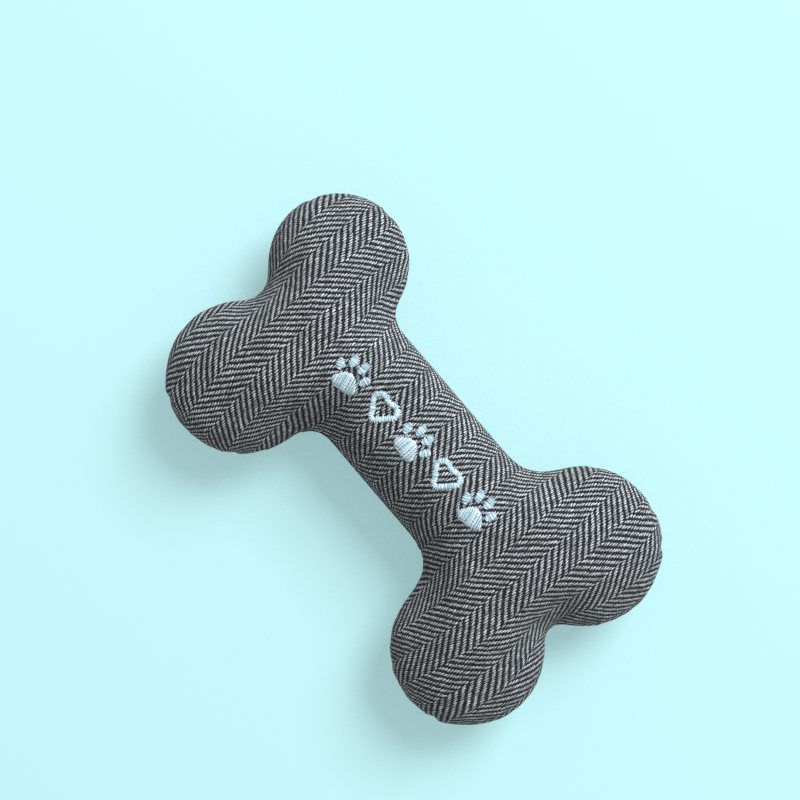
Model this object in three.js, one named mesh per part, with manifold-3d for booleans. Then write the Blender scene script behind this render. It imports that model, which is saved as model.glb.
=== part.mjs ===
// A stuffed cloth bone for a dog, lying on its back.
// Two bone-shaped panels of herringbone tweed are sewn together round their edge, turned right side out
// through a gap in one side of the shaft, packed with fibre round a squeaker, and closed by hand.
// Lengths are in millimetres, +X runs along the bone, +Y across it and +Z out of its embroidered front.
import * as THREE from "three";
import { mergeVertices } from "three/addons/utils/BufferGeometryUtils.js";
import Module from "manifold-3d";

const wasm = await Module();
wasm.setup();

// Outline of the stuffed bone. Each knob is a circle, and each end and side flows into the next by an arc.
// A knob's height is how far its middle stands above the seam.
const knobs = {
  upper_left: { x: -70, y: 25.2, radius: 24.7, neckRadius: 9.5, height: 17.4 },
  lower_left: { x: -61.9, y: -26.1, radius: 26.8, neckRadius: 10.5, height: 18.2 },
  lower_right: { x: 61.3, y: -27.6, radius: 27.2, neckRadius: 16, height: 18.2 },
  upper_right: { x: 60.2, y: 25.8, radius: 28, neckRadius: 17, height: 19.3 },
};
const notchRadius = { left: 10, right: 6 };
const shaftHalfWidth = 21.8;
const shaftRise = 4.9;

// Swell of the stuffing above the seam. It is fullest where two knobs meet the shaft. The front rounds
// off there at its fullest height, and the back presses flat on the table at its resting height.
const junctionHeight = 23.8;
const junctionInset = 12;
const shaftEndHeight = 19.9;
const shaftHeight = 19.1;
const fullestHeight = 21.8;
const restingHeight = 20;
const bulgeLeanness = 1.11;

// Cloth and sewing.
const clothThickness = 1.1;
const seamAllowance = 6.5;
const seamValley = 1.2;
const clearance = 0.3;
const seamThreadThickness = 0.5;
const closingThreadThickness = 0.5;
const closingStitchPitch = 3.2;

// Filling: one wad over and one under the squeaker, and one in each knob.
const bodyFillingReach = 46;
const cutterOverrun = 5;

// Squeaker: a blown disc with a whistle in the middle of its front face.
const squeakerRadius = 14;
const squeakerHalfThickness = 7;
const squeakerWall = 0.9;
const squeakerNeckRadius = 5.9;
const squeakerNeckHeight = 1.6;
const whistleRadius = 4.3;
const whistleLength = 7;
const whistleFlangeRadius = 5.8;
const whistleFlangeThickness = 1.1;
const whistleBoreRadius = 3;
const reedThickness = 0.4;
const reedWidth = 2.8;
const reedBlockLength = 4.6;

// Embroidery: a row of five motifs in satin stitch, paw, heart, paw, heart, paw.
const motifRow = { x: -5.9, y: 4.5, tiltDegrees: 2.5 };
const motifSpacing = 15.6;
const pawTiltDegrees = 9;
const pawPad = { halfWidth: 4.5, halfHeight: 3.5, drop: 3 };
const pawToes = [
  { side: -5.2, rise: 1.3, halfWidth: 1.45, halfHeight: 2.1, leanDegrees: 24 },
  { side: -2.05, rise: 4.6, halfWidth: 1.5, halfHeight: 2.3, leanDegrees: 7 },
  { side: 2.05, rise: 4.6, halfWidth: 1.5, halfHeight: 2.3, leanDegrees: -7 },
  { side: 5.2, rise: 1.3, halfWidth: 1.45, halfHeight: 2.1, leanDegrees: -24 },
];
const heart = {
  lobeReach: 2.5,
  lobeRise: 1.5,
  lobeRadius: 2.6,
  hollowRadius: 1.15,
  tipDrop: 3.6,
  tipRadius: 1.15,
};
const satinWidth = 1.9;
const satinHeight = 0.9;
const satinShoulder = 0.35;
const backingThickness = 0.4;
const backingMargin = 3.5;
const motifHalfHeight = 7.2;

// How finely the curves are stepped.
const knobSteps = 11;
const branchSteps = 3;
const throatSteps = 2;
const shaftSteps = 5;
const profileDegrees = [90, 76, 60, 42, 24, 8];
const threadSides = 5;
const stepsToAStitch = 6;
const bulbSteps = 10;
const bulbSegments = 24;
const whistleSegments = 20;
const blockSegments = 8;
const coreSegments = 40;
const backingColumns = 16;
const backingLines = 6;
const padPoints = 16;
const toePoints = 12;
const heartSteps = 36;

const cloth = { color: 0x6b6d6e, roughness: 0.95, metalness: 0 };
const fibre = { color: 0xe9e7e1, roughness: 1, metalness: 0 };
const paleThread = { color: 0xc3dbe8, roughness: 0.55, metalness: 0 };
const darkThread = { color: 0x2b2d31, roughness: 0.7, metalness: 0 };
const backingFelt = { color: 0xf1efea, roughness: 0.95, metalness: 0 };
const bulbPlastic = { color: 0xece9df, roughness: 0.45, metalness: 0 };
const whistlePlastic = { color: 0xdfe3e6, roughness: 0.35, metalness: 0 };

const radians = THREE.MathUtils.degToRad;
const wholeTurn = 2 * Math.PI;
const bone = new THREE.Group();

// A closed solid from a three.js geometry, with its doubled corners merged and its empty triangles dropped.
function solidOf(geometry) {
  const bare = new THREE.BufferGeometry();
  bare.setAttribute("position", geometry.getAttribute("position").clone());
  if (geometry.index) bare.setIndex(geometry.index.clone());
  const merged = mergeVertices(bare);
  const corners = merged.index.array;
  const kept = [];
  for (let i = 0; i < corners.length; i += 3) {
    const [a, b, c] = [corners[i], corners[i + 1], corners[i + 2]];
    if (a !== b && b !== c && c !== a) kept.push(a, b, c);
  }
  const build = (triVerts) =>
    new wasm.Manifold(
      new wasm.Mesh({
        numProp: 3,
        vertProperties: new Float32Array(merged.attributes.position.array),
        triVerts: new Uint32Array(triVerts),
      }),
    );
  const solid = build(kept);
  return solid.volume() < 0 ? build(kept.reverse()) : solid;
}

function geometryOf(solid) {
  const mesh = solid.getMesh();
  const positions = new Float32Array(mesh.numVert * 3);
  for (let i = 0; i < mesh.numVert; i++)
    positions.set(mesh.vertProperties.subarray(i * mesh.numProp, i * mesh.numProp + 3), i * 3);
  const geometry = new THREE.BufferGeometry();
  geometry.setAttribute("position", new THREE.BufferAttribute(positions, 3));
  geometry.setIndex(new THREE.BufferAttribute(mesh.triVerts, 1));
  geometry.computeVertexNormals();
  return geometry;
}

function addPiece(name, solid, look) {
  const piece = new THREE.Mesh(geometryOf(solid), new THREE.MeshStandardMaterial(look));
  piece.name = name;
  bone.add(piece);
  return piece;
}

// Skins rows of points, all of one length, into triangles. A closed skin joins the last row to the first.
function skin(rows, rowsClose, rowIsRing) {
  const width = rows[0].length;
  const corners = [];
  const quad = (a, b, c, d) => corners.push(a, b, c, a, c, d);
  const lastRow = rowsClose ? rows.length : rows.length - 1;
  const lastPoint = rowIsRing ? width : width - 1;
  for (let i = 0; i < lastRow; i++)
    for (let k = 0; k < lastPoint; k++) {
      const [here, there] = [i * width, ((i + 1) % rows.length) * width];
      const next = (k + 1) % width;
      quad(here + k, here + next, there + next, there + k);
    }
  if (rowIsRing && !rowsClose) {
    const end = lastRow * width;
    for (let k = 0; k < width / 2 - 1; k++) {
      quad(width - 1 - k, width - 2 - k, k + 1, k);
      quad(end + k, end + k + 1, end + width - 2 - k, end + width - 1 - k);
    }
  }
  const geometry = new THREE.BufferGeometry();
  const positions = rows.flat().flatMap((point) => point.toArray());
  geometry.setAttribute("position", new THREE.Float32BufferAttribute(positions, 3));
  geometry.setIndex(corners);
  return geometry;
}

// Points along an arc, the first and last included. Turn is +1 for an arc that runs anticlockwise.
function arc(centre, radius, from, to, steps, turn) {
  const start = Math.atan2(from.y - centre.y, from.x - centre.x);
  const end = Math.atan2(to.y - centre.y, to.x - centre.x);
  const sweep = turn * ((turn * (end - start) + 2 * wholeTurn) % wholeTurn);
  return Array.from({ length: steps + 1 }, (_, i) => {
    const angle = start + (sweep * i) / steps;
    return new THREE.Vector2(centre.x + radius * Math.cos(angle), centre.y + radius * Math.sin(angle));
  });
}

function towards(from, to, distance) {
  return new THREE.Vector2(to.x - from.x, to.y - from.y).setLength(distance).add(from);
}

// The hollow arc between a knob and the shaft. Side is +1 above the shaft, end is +1 at the right.
function neck(knob, side, end) {
  const edge = shaftRise + side * shaftHalfWidth;
  const reach = knob.radius + knob.neckRadius;
  const centreY = edge + side * knob.neckRadius;
  const centreX = knob.x - end * Math.sqrt(reach ** 2 - (centreY - knob.y) ** 2);
  const centre = new THREE.Vector2(centreX, centreY);
  return {
    centre,
    onKnob: towards(knob, centre, knob.radius),
    onShaft: new THREE.Vector2(centreX, edge),
  };
}

// The hollow arc between the two knobs of one end, outside the line that joins their centres.
function notch(upper, lower, radius, end) {
  const span = Math.hypot(upper.x - lower.x, upper.y - lower.y);
  const upperReach = upper.radius + radius;
  const lowerReach = lower.radius + radius;
  const along = (upperReach ** 2 - lowerReach ** 2 + span ** 2) / (2 * span);
  const out = Math.sqrt(upperReach ** 2 - along ** 2);
  const down = new THREE.Vector2(lower.x - upper.x, lower.y - upper.y).divideScalar(span);
  const outwards = new THREE.Vector2(-end * down.y, end * down.x);
  const between = new THREE.Vector2(upper.x, upper.y).addScaledVector(down, along);
  const centre = between.addScaledVector(outwards, out);
  return {
    centre,
    onUpper: towards(upper, centre, upper.radius),
    onLower: towards(lower, centre, lower.radius),
  };
}

// The crest is the line of highest points. It runs along the shaft and forks to the middle of each knob.
function crestPoint(place, height) {
  return new THREE.Vector3(place.x, place.y, height);
}

function crestRun(from, to, steps) {
  return Array.from({ length: steps + 1 }, (_, i) => {
    const share = i / steps;
    const point = from.clone().lerp(to, share);
    point.z = THREE.MathUtils.lerp(from.z, to.z, THREE.MathUtils.smoothstep(share, 0, 1));
    return point;
  });
}

const { upper_left, lower_left, lower_right, upper_right } = knobs;
const necks = {
  upper_left: neck(upper_left, 1, -1),
  lower_left: neck(lower_left, -1, -1),
  lower_right: neck(lower_right, -1, 1),
  upper_right: neck(upper_right, 1, 1),
};
const notches = {
  left: notch(upper_left, lower_left, notchRadius.left, -1),
  right: notch(upper_right, lower_right, notchRadius.right, 1),
};

function junctionOf(upper, lower, end) {
  const x = (upper.x + lower.x) / 2 - end * junctionInset;
  return crestPoint(new THREE.Vector2(x, (upper.y + lower.y) / 2), junctionHeight);
}

function shaftEnd(upperNeck, lowerNeck) {
  const x = (upperNeck.onShaft.x + lowerNeck.onShaft.x) / 2;
  return crestPoint(new THREE.Vector2(x, shaftRise), shaftEndHeight);
}

const junctions = {
  left: junctionOf(upper_left, lower_left, -1),
  right: junctionOf(upper_right, lower_right, 1),
};
const shaftEnds = {
  left: shaftEnd(necks.upper_left, necks.lower_left),
  right: shaftEnd(necks.upper_right, necks.lower_right),
};
const crowns = Object.fromEntries(
  Object.entries(knobs).map(([name, knob]) => [name, crestPoint(knob, knob.height)]),
);

// Stations go once anticlockwise round the seam. Each pairs a seam point with the crest point it rises to.
const stations = [];
function addStations(seamPoints, crestPoints) {
  seamPoints.slice(0, -1).forEach((seam, i) => stations.push({ seam, crest: crestPoints[i] }));
}

function neckCrest(crown, side) {
  const branch = crestRun(crown, junctions[side], branchSteps);
  return [...branch, ...crestRun(junctions[side], shaftEnds[side], throatSteps).slice(1)];
}

function notchCrest(from, to, side) {
  const outwards = crestRun(from, junctions[side], branchSteps);
  return [...outwards, ...crestRun(to, junctions[side], branchSteps).reverse().slice(1)];
}

function addNeck(name, side, leavesShaft) {
  const { centre, onKnob, onShaft } = necks[name];
  const steps = branchSteps + throatSteps;
  const points = arc(centre, knobs[name].neckRadius, onShaft, onKnob, steps, leavesShaft ? -1 : 1);
  const crest = neckCrest(crowns[name], side);
  if (leavesShaft) addStations(points, crest.reverse());
  else addStations(points.reverse(), crest);
}

function addKnob(name, from, to) {
  const points = arc(knobs[name], knobs[name].radius, from, to, knobSteps, 1);
  addStations(points, Array(knobSteps + 1).fill(crowns[name]));
}

function addNotch(side, fromName, toName, from, to) {
  const points = arc(notches[side].centre, notchRadius[side], from, to, 2 * branchSteps, -1);
  addStations(points, notchCrest(crowns[fromName], crowns[toName], side));
}

function addShaftSide(from, to, crestFrom, crestTo) {
  const points = Array.from({ length: shaftSteps + 1 }, (_, i) => from.clone().lerp(to, i / shaftSteps));
  const crest = crestRun(crestFrom, crestTo, shaftSteps);
  crest.forEach((point, i) => {
    const fromMiddle = (2 * i) / shaftSteps - 1;
    point.z = THREE.MathUtils.lerp(shaftHeight, point.z, fromMiddle ** 2);
  });
  addStations(points, crest);
}

addShaftSide(necks.upper_right.onShaft, necks.upper_left.onShaft, shaftEnds.right, shaftEnds.left);
addNeck("upper_left", "left", true);
addKnob("upper_left", necks.upper_left.onKnob, notches.left.onUpper);
addNotch("left", "upper_left", "lower_left", notches.left.onUpper, notches.left.onLower);
addKnob("lower_left", notches.left.onLower, necks.lower_left.onKnob);
addNeck("lower_left", "left", false);
const turningGapStart = stations.length;
addShaftSide(necks.lower_left.onShaft, necks.lower_right.onShaft, shaftEnds.left, shaftEnds.right);
const turningGapEnd = stations.length;
addNeck("lower_right", "right", true);
addKnob("lower_right", necks.lower_right.onKnob, notches.right.onLower);
addNotch("right", "lower_right", "upper_right", notches.right.onLower, notches.right.onUpper);
addKnob("upper_right", notches.right.onUpper, necks.upper_right.onKnob);
addNeck("upper_right", "right", false);

// Puts a section, drawn as distances out from the crest and heights over the seam, at one station.
function placeSection({ seam, crest }, section) {
  const out = new THREE.Vector2(seam.x - crest.x, seam.y - crest.y);
  const reach = out.length();
  out.normalize();
  return section(reach, crest.z).map(([distance, height]) => {
    const [x, y] = [crest.x + out.x * distance, crest.y + out.y * distance];
    return new THREE.Vector3(x, y, height);
  });
}

function swept(section) {
  return solidOf(skin(stations.map((station) => placeSection(station, section)), true, false));
}

function mirrored(solid) {
  return solid.mirror([0, 0, 1]);
}

// A panel bulges nearly as a quarter ellipse from the seam to the crest, and never above its ceiling.
const foldHeight = clearance / 2;
const allowanceTop = foldHeight + clothThickness;
function bulge(reach, height, lowest, ceiling) {
  return profileDegrees.map((degrees) => {
    const rise = height * Math.sin(radians(degrees)) ** bulgeLeanness;
    return [reach * Math.cos(radians(degrees)), Math.min(Math.max(rise, lowest), ceiling)];
  });
}

// The seam allowance turns in under the panel.
function panelSection(reach, height, ceiling) {
  const outside = bulge(reach, height, foldHeight, ceiling);
  const inside = bulge(
    reach - clothThickness,
    height - clothThickness,
    allowanceTop + clearance,
    ceiling - clothThickness,
  );
  return [
    ...outside,
    [reach - seamValley, foldHeight],
    [reach - seamAllowance, foldHeight],
    [reach - seamAllowance, allowanceTop],
    [reach - seamValley - clothThickness, allowanceTop],
    ...inside.reverse(),
  ];
}

function panelUnder(ceiling) {
  return swept((reach, height) => panelSection(reach, height, ceiling));
}

const frontPanel = addPiece("front_panel", panelUnder(fullestHeight), cloth);
addPiece("back_panel", mirrored(panelUnder(restingHeight)), cloth);

// Lockstitch: the needle thread lies on the front panel's allowance, the bobbin thread on the back panel's.
const threadHeight = allowanceTop + clearance + seamThreadThickness / 2;
function threadSection(reach) {
  const middle = reach - seamValley - clothThickness - clearance - seamThreadThickness;
  const half = seamThreadThickness / 2;
  return [
    [middle + half, threadHeight],
    [middle, threadHeight + half],
    [middle - half, threadHeight],
    [middle, threadHeight - half],
  ];
}
const sewnStations = [...stations.slice(turningGapEnd), ...stations.slice(0, turningGapStart + 1)];
const needleThread = solidOf(
  skin(sewnStations.map((station) => placeSection(station, threadSection)), false, true),
);
addPiece("seam_needle_thread", needleThread, darkThread);
addPiece("seam_bobbin_thread", mirrored(needleThread), darkThread);

// The turning gap is closed by hand with a slanting stitch that lies in the seam's valley.
const gapFrom = necks.lower_left.onShaft.x;
const gapTo = necks.lower_right.onShaft.x;
const stitchCount = Math.round((gapTo - gapFrom) / closingStitchPitch);
const stitchRise = (seamValley * 2) / 3;
const stitchDepth = shaftRise - shaftHalfWidth + closingThreadThickness / 2;
const closingPath = new THREE.CatmullRomCurve3(
  Array.from({ length: 2 * stitchCount + 1 }, (_, i) => {
    const x = gapFrom + ((gapTo - gapFrom) * i) / (2 * stitchCount);
    return new THREE.Vector3(x, stitchDepth, i % 2 ? stitchRise : -stitchRise);
  }),
);
const threadShape = new THREE.Shape(
  Array.from({ length: threadSides }, (_, i) => {
    const angle = (wholeTurn * i) / threadSides;
    const radius = closingThreadThickness / 2;
    return new THREE.Vector2(radius * Math.cos(angle), radius * Math.sin(angle));
  }),
);
const closingThread = new THREE.ExtrudeGeometry(threadShape, {
  extrudePath: closingPath,
  steps: stepsToAStitch * stitchCount,
  bevelEnabled: false,
});
addPiece("closing_thread", solidOf(closingThread), darkThread);

// Squeaker bulb: a flattened ball with a short neck, open at the whistle's bore.
function discProfile(radius, halfThickness, neckRadius) {
  const neckAngle = Math.acos(neckRadius / radius);
  return Array.from({ length: bulbSteps + 1 }, (_, i) => {
    const angle = -Math.PI / 2 + ((Math.PI / 2 + neckAngle) * i) / bulbSteps;
    return new THREE.Vector2(radius * Math.cos(angle), halfThickness * Math.sin(angle));
  });
}

function turned(profile, segments) {
  const geometry = new THREE.LatheGeometry(profile, segments);
  geometry.rotateX(Math.PI / 2);
  geometry.translate(0, shaftRise, 0);
  return geometry;
}

const neckTop = squeakerHalfThickness + squeakerNeckHeight;
const neckBore = whistleRadius + clearance;
const bulbOutside = discProfile(squeakerRadius, squeakerHalfThickness, squeakerNeckRadius);
const chamberRadius = squeakerRadius - squeakerWall;
const bulbInside = discProfile(chamberRadius, squeakerHalfThickness - squeakerWall, neckBore);
bulbOutside[0].x = 0;
bulbInside[0].x = 0;
const bulbProfile = [
  ...bulbOutside,
  new THREE.Vector2(squeakerNeckRadius, neckTop),
  new THREE.Vector2(neckBore, neckTop),
  ...bulbInside.reverse(),
];
addPiece("squeaker_bulb", solidOf(turned(bulbProfile, bulbSegments)), bulbPlastic);

// Whistle: a flanged tube pushed into the neck, with a reed on a half-round block in its bore.
const flangeUnderside = neckTop + clearance;
const whistleTop = flangeUnderside + whistleFlangeThickness;
const whistleFoot = whistleTop - whistleLength;
const whistleProfile = [
  [whistleBoreRadius, whistleFoot],
  [whistleRadius, whistleFoot],
  [whistleRadius, flangeUnderside],
  [whistleFlangeRadius, flangeUnderside],
  [whistleFlangeRadius, whistleTop],
  [whistleBoreRadius, whistleTop],
  [whistleBoreRadius, whistleFoot],
].map(([radius, height]) => new THREE.Vector2(radius, height));
addPiece("squeaker_whistle", solidOf(turned(whistleProfile, whistleSegments)), whistlePlastic);

const blockShape = new THREE.Shape();
blockShape.absarc(0, 0, whistleBoreRadius - clearance, Math.PI, wholeTurn);
blockShape.closePath();
const reedBlock = new THREE.ExtrudeGeometry(blockShape, {
  depth: reedBlockLength,
  curveSegments: blockSegments,
  bevelEnabled: false,
});
reedBlock.translate(0, shaftRise, whistleFoot);
addPiece("squeaker_reed_block", solidOf(reedBlock), whistlePlastic);

const reed = new THREE.BoxGeometry(reedWidth, reedThickness, reedBlockLength);
reed.translate(0, shaftRise + clearance + reedThickness / 2, whistleFoot + reedBlockLength / 2);
addPiece("squeaker_reed", solidOf(reed), whistlePlastic);

// Filling follows the inside of the panels and leaves room for the seam allowance and its stitching.
const grooveHeight = threadHeight + seamThreadThickness / 2 + clearance;
function fillingSection(reach, height, base, ceiling) {
  const inset = clothThickness + clearance;
  const grooveReach = reach - seamAllowance - clearance;
  const top = bulge(reach - inset, height - inset, grooveHeight, ceiling - inset).slice(0, -1);
  return [
    [0, base],
    [grooveReach, base],
    [grooveReach, grooveHeight],
    [reach - inset - clothThickness, grooveHeight],
    ...top.reverse(),
  ];
}

function cylinderCutter(radius) {
  const height = 2 * fullestHeight + cutterOverrun;
  const cutter = new THREE.CylinderGeometry(radius, radius, height, coreSegments);
  cutter.rotateX(Math.PI / 2);
  cutter.translate(0, shaftRise, 0);
  return solidOf(cutter);
}

function quadrant(side, end) {
  const size = upper_right.x - upper_left.x + upper_right.radius + upper_left.radius;
  const box = new THREE.BoxGeometry(size, size, size);
  const middle = (end < 0 ? junctions.left : junctions.right).y;
  box.translate((end * size) / 2, middle + (side * (size + clearance)) / 2, 0);
  return solidOf(box);
}

const flangeRoom = whistleFlangeRadius + clearance;
const pocketProfile = [
  ...discProfile(squeakerRadius + clearance, squeakerHalfThickness + clearance, flangeRoom),
  new THREE.Vector2(flangeRoom, whistleTop + clearance),
  new THREE.Vector2(0, whistleTop + clearance),
];
pocketProfile[0].x = 0;
const neckPocket = [
  [0, 0],
  [squeakerNeckRadius + clearance, 0],
  [squeakerNeckRadius + clearance, flangeUnderside],
  [0, flangeUnderside],
].map(([radius, height]) => new THREE.Vector2(radius, height));
const pocket = solidOf(turned(pocketProfile, bulbSegments)).add(
  solidOf(turned(neckPocket, bulbSegments)),
);

// Backing: a strip of felt behind the embroidery, following the inside of the front panel.
frontPanel.updateMatrixWorld(true);
const probe = new THREE.Raycaster();
function heightOutside(x, y) {
  probe.set(new THREE.Vector3(x, y, 2 * fullestHeight), new THREE.Vector3(0, 0, -1));
  return probe.intersectObject(frontPanel)[0].point.z;
}

function placeMotif(x, y) {
  return new THREE.Vector2(x, y)
    .rotateAround(new THREE.Vector2(), radians(motifRow.tiltDegrees))
    .add(new THREE.Vector2(motifRow.x, motifRow.y));
}

const backingHalfLength = 2 * motifSpacing + motifHalfHeight + backingMargin;
const backingHalfWidth = motifHalfHeight + backingMargin;
function backingSheet(halfLength, halfWidth, top, bottom) {
  const rows = [];
  for (let i = 0; i <= backingColumns; i++) {
    const along = halfLength * (2 * (i / backingColumns) - 1);
    const edge = (depth) =>
      Array.from({ length: backingLines + 1 }, (_, k) => {
        const { x, y } = placeMotif(along, halfWidth * (2 * (k / backingLines) - 1));
        return new THREE.Vector3(x, y, heightOutside(x, y) - depth);
      });
    rows.push([...edge(top), ...edge(bottom).reverse()]);
  }
  return solidOf(skin(rows, false, true));
}

const wallDepth = clothThickness * Math.SQRT2;
const backing = backingSheet(
  backingHalfLength,
  backingHalfWidth,
  wallDepth + clearance,
  wallDepth + clearance + backingThickness,
);
addPiece("embroidery_backing", backing, backingFelt);
const backingRoom = backingSheet(
  backingHalfLength + clearance,
  backingHalfWidth + clearance,
  0,
  wallDepth + 2 * clearance + backingThickness,
);

const bodyCore = cylinderCutter(bodyFillingReach);
function fillingUnder(ceiling, base) {
  return swept((reach, height) => fillingSection(reach, height, base, ceiling));
}

const frontWad = fillingUnder(fullestHeight, foldHeight).intersect(bodyCore);
const backWad = mirrored(fillingUnder(restingHeight, foldHeight).intersect(bodyCore));
addPiece("filling_body_front", frontWad.subtract(pocket).subtract(backingRoom), fibre);
addPiece("filling_body_back", backWad.subtract(pocket), fibre);
const wholeFilling = fillingUnder(fullestHeight, 0).add(mirrored(fillingUnder(restingHeight, 0)));
const outerFilling = wholeFilling.subtract(cylinderCutter(bodyFillingReach + clearance));
const knobFilling = outerFilling.subtract(backingRoom);
for (const [name, side, end] of [
  ["upper_left", 1, -1],
  ["lower_left", -1, -1],
  ["lower_right", -1, 1],
  ["upper_right", 1, 1],
])
  addPiece(`filling_knob_${name}`, knobFilling.intersect(quadrant(side, end)), fibre);

// Satin stitch stands on the front panel as a low cushion with rounded shoulders.
function onCloth({ x, y }, rise) {
  return new THREE.Vector3(x, y, heightOutside(x, y) + clearance + rise);
}

function satinPatch(outline, centre) {
  const shoulder = outline.map((point) => {
    const inset = point.distanceTo(centre) - satinShoulder;
    return towards(centre, point, inset);
  });
  const rows = outline.map((point, i) => [
    onCloth(centre, 0),
    onCloth(point, 0),
    onCloth(point, satinHeight / 2),
    onCloth(shoulder[i], satinHeight),
    onCloth(centre, satinHeight),
  ]);
  return solidOf(skin(rows, true, false));
}

function satinLoop(middle) {
  const rows = middle.map((point, i) => {
    const before = middle[(i + middle.length - 1) % middle.length];
    const after = middle[(i + 1) % middle.length];
    const across = after.clone().sub(before).normalize().rotateAround(new THREE.Vector2(), Math.PI / 2);
    const at = (offset, rise) => onCloth(point.clone().addScaledVector(across, offset), rise);
    const half = satinWidth / 2;
    return [
      at(-half, 0),
      at(-half, satinHeight / 2),
      at(0, satinHeight),
      at(half, satinHeight / 2),
      at(half, 0),
    ];
  });
  return solidOf(skin(rows, true, true));
}

function ovalPoint(angle, { halfWidth, halfHeight, leanDegrees, side, rise }) {
  return new THREE.Vector2(halfWidth * Math.cos(angle), halfHeight * Math.sin(angle))
    .rotateAround(new THREE.Vector2(), radians(leanDegrees))
    .add(new THREE.Vector2(side, rise));
}

// A paw's main pad is an oval drawn in to three rounded corners, one of them at the top.
const padTrefoilShare = 0.13;
function pawPadPoint(angle) {
  const swell = 1 + padTrefoilShare * Math.cos(3 * (angle - Math.PI / 2));
  const x = pawPad.halfWidth * swell * Math.cos(angle);
  return new THREE.Vector2(x, pawPad.halfHeight * swell * Math.sin(angle) - pawPad.drop);
}

function around(count, pointAt) {
  return Array.from({ length: count }, (_, i) => pointAt((wholeTurn * i) / count));
}

function addPaw(name, along, tiltDegrees) {
  const place = (point) => {
    const leant = point.clone().rotateAround(new THREE.Vector2(), radians(tiltDegrees));
    return placeMotif(along + leant.x, leant.y);
  };
  const pad = around(padPoints, pawPadPoint).map(place);
  addPiece(`${name}_pad`, satinPatch(pad, place(new THREE.Vector2(0, -pawPad.drop))), paleThread);
  pawToes.forEach((toe, i) => {
    const outline = around(toePoints, (angle) => ovalPoint(angle, toe)).map(place);
    const centre = place(new THREE.Vector2(toe.side, toe.rise));
    addPiece(`${name}_toe_${i + 1}`, satinPatch(outline, centre), paleThread);
  });
}

// A heart is drawn by arcs: two lobes, a hollow between them and a tip, joined by straight sides.
function heartPath() {
  const { lobeReach, lobeRise, lobeRadius, hollowRadius, tipDrop, tipRadius } = heart;
  const hollowRise = lobeRise + Math.sqrt((lobeRadius + hollowRadius) ** 2 - lobeReach ** 2);
  const hollowAngle = Math.atan2(hollowRise - lobeRise, -lobeReach);
  const sideAngle =
    Math.atan2(lobeRise + tipDrop, lobeReach) -
    Math.acos((lobeRadius - tipRadius) / Math.hypot(lobeReach, lobeRise + tipDrop));
  const path = new THREE.Path();
  path.absarc(lobeReach, lobeRise, lobeRadius, sideAngle, hollowAngle, false);
  path.absarc(0, hollowRise, hollowRadius, hollowAngle - Math.PI, -hollowAngle, true);
  path.absarc(-lobeReach, lobeRise, lobeRadius, Math.PI - hollowAngle, Math.PI - sideAngle, false);
  path.absarc(0, -tipDrop, tipRadius, Math.PI - sideAngle, wholeTurn + sideAngle, false);
  path.closePath();
  return path;
}

function addHeart(name, along) {
  const middle = heartPath().getSpacedPoints(heartSteps).slice(0, -1);
  addPiece(name, satinLoop(middle.map(({ x, y }) => placeMotif(along + x, y))), paleThread);
}

addPaw("paw_left", -2 * motifSpacing, pawTiltDegrees);
addHeart("heart_left", -motifSpacing);
addPaw("paw_middle", 0, -pawTiltDegrees);
addHeart("heart_right", motifSpacing);
addPaw("paw_right", 2 * motifSpacing, pawTiltDegrees);

// The origin is in the middle of the bone's outline, on the surface that it rests on.
const outlineBox = new THREE.Box2().setFromPoints(stations.map(({ seam }) => seam));
const middle = outlineBox.getCenter(new THREE.Vector2());
bone.position.set(-middle.x, -middle.y, restingHeight);

export default bone;
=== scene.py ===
import math

import bpy
import numpy as np
from mathutils import Matrix, Vector
from mathutils import noise as soft_noise
from mathutils.bvhtree import BVHTree
from mathutils.geometry import delaunay_2d_cdt


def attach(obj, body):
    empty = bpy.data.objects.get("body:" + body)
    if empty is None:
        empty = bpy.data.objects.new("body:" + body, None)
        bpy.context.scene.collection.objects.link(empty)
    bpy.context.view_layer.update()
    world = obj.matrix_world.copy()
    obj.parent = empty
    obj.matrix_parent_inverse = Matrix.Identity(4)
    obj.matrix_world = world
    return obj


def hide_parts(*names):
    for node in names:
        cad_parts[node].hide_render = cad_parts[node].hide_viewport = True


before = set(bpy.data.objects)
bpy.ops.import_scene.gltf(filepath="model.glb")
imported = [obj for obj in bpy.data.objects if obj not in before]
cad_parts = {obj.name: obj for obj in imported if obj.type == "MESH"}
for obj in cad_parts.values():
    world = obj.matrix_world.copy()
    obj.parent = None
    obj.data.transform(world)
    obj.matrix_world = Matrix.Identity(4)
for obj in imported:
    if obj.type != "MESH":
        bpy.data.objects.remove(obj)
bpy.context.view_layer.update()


# View, ground and light
# The bone lies on its back on a plain pale ground. The camera looks straight down on its
# embroidered front, turned so that the bone runs from the picture's upper left to its lower right.
# The yarns are two pixels wide there, and denoising would wipe them out, so it is off.
mm = 0.001
scene = bpy.context.scene
scene.view_settings.view_transform = "Standard"
scene.cycles.use_denoising = False
seam_height = 20 * mm
film_width = 36
view_turn = math.radians(49.5)
view_distance = 600 * mm
view_span = 280 * mm
view_centre = Vector((-16.7 * mm, 11.1 * mm, seam_height))
picture_right = Vector((math.cos(view_turn), math.sin(view_turn), 0))
picture_up = Vector((-math.sin(view_turn), math.cos(view_turn), 0))
upward = Vector((0, 0, 1))
key_way = (0.75, 0.85, 1.15)
key_distance = 2200 * mm
sky_colour = (1, 0.95, 0.93, 1)
pale_ground = (0.604, 0.973, 1.0, 1)
painted_ground = (0.5, 0.82, 0.86, 1)
neutral_ground = (0.78, 0.79, 0.8, 1)
near_glow = 0.45
lit_reach = 300 * mm
dim_reach = 1500 * mm
ground_reach = 6000 * mm


def linked(name, data):
    thing = bpy.data.objects.new(name, data)
    scene.collection.objects.link(thing)
    return thing


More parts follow.
